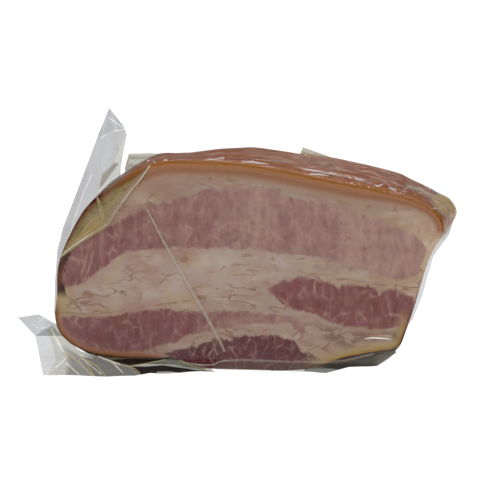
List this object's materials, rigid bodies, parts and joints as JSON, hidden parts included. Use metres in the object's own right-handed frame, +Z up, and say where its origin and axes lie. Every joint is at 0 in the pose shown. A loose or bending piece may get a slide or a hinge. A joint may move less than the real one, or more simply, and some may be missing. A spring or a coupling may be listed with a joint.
{
  "type": "vacuum-sealed smoked bacon block",
  "caption": "Block of smoked pork belly, rind side up, in tight clear vacuum film with loose seam flaps at the left end and lower corners.",
  "frame": {"origin": "middle of the bounding box at the height of the surface that the pack stands on", "axes": "+Z up, +Y away from the front cut face, +X along the block towards its pointed right shoulder"},
  "size_m": [0.1702, 0.0582, 0.0992],
  "materials": {
    "bacon": "moist cured pork under clinging film, layers of pink lean and pale fat, brown smoked rind",
    "film": "clear glossy vacuum film, whitish or faintly yellow where it is doubled and creased"
  },
  "bodies": {
    "root": {"sealed_bag": "bacon"}
  },
  "joints": []
}
